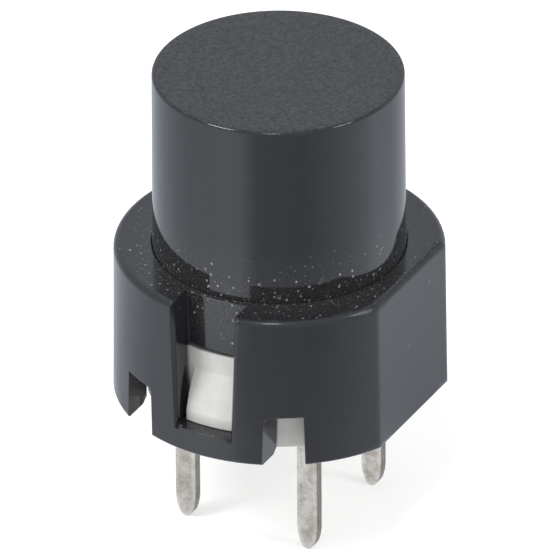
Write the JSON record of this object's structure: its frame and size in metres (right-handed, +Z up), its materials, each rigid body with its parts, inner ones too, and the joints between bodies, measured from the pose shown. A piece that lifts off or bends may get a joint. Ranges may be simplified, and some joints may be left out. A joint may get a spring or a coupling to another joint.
{
  "type": "round key switch",
  "caption": "Round key switch for a circuit board: clip-on cover with a flat side over a white base, tall sprung button, snap dome contact and flat solder pins.",
  "frame": {"origin": "on the button's axis, in the plane of the board's top, where the cover's lower rim stands", "axes": "+Z up along the button's axis, the snap windows face -Y and +Y, the cover's flat side faces +X"},
  "size_m": [0.0118, 0.0124, 0.0182],
  "materials": {
    "black_plastic": "moulded, satin sides and finely textured top",
    "white_plastic": "moulded, smooth",
    "dark_plastic": "moulded, dull",
    "spring_steel": "drawn wire and rolled strip",
    "silvered_bronze": "silver plated strip",
    "tinned_bronze": "tin plated, dull and slightly stained",
    "amber_plastic": "moulded, translucent amber"
  },
  "bodies": {
    "housing": {"cover": "black_plastic", "base": "white_plastic", "return_spring": "spring_steel", "snap_dome": "spring_steel", "ring_contact_plate": "silvered_bronze", "centre_contact_plate": "silvered_bronze", "centre_contact": "silvered_bronze", "retaining_ring": "amber_plastic", "pin_front_left": "tinned_bronze", "pin_front_right": "tinned_bronze", "pin_rear_left": "tinned_bronze", "pin_rear_right": "tinned_bronze"},
    "button": {"button_cap": "black_plastic", "plunger": "dark_plastic", "overtravel_spring": "spring_steel"},
    "actuator": {"actuator_pin": "white_plastic"}
  },
  "joints": [
    {"name": "button_press", "type": "slide", "parent": "housing", "child": "button", "axis": [0, 0, -1], "range_m": [0, 0.0005], "stiffness_N_per_m": 1600, "springref_m": -0.0006, "deforming": ["return_spring", "snap_dome"]},
    {"name": "pin_yield", "type": "slide", "parent": "button", "child": "actuator", "axis": [0, 0, 1], "range_m": [0, 0.00018], "deforming": ["overtravel_spring"]}
  ],
  "couplings": [
    {"joint": "pin_yield", "follows": "button_press", "ratio": 0.36}
  ]
}
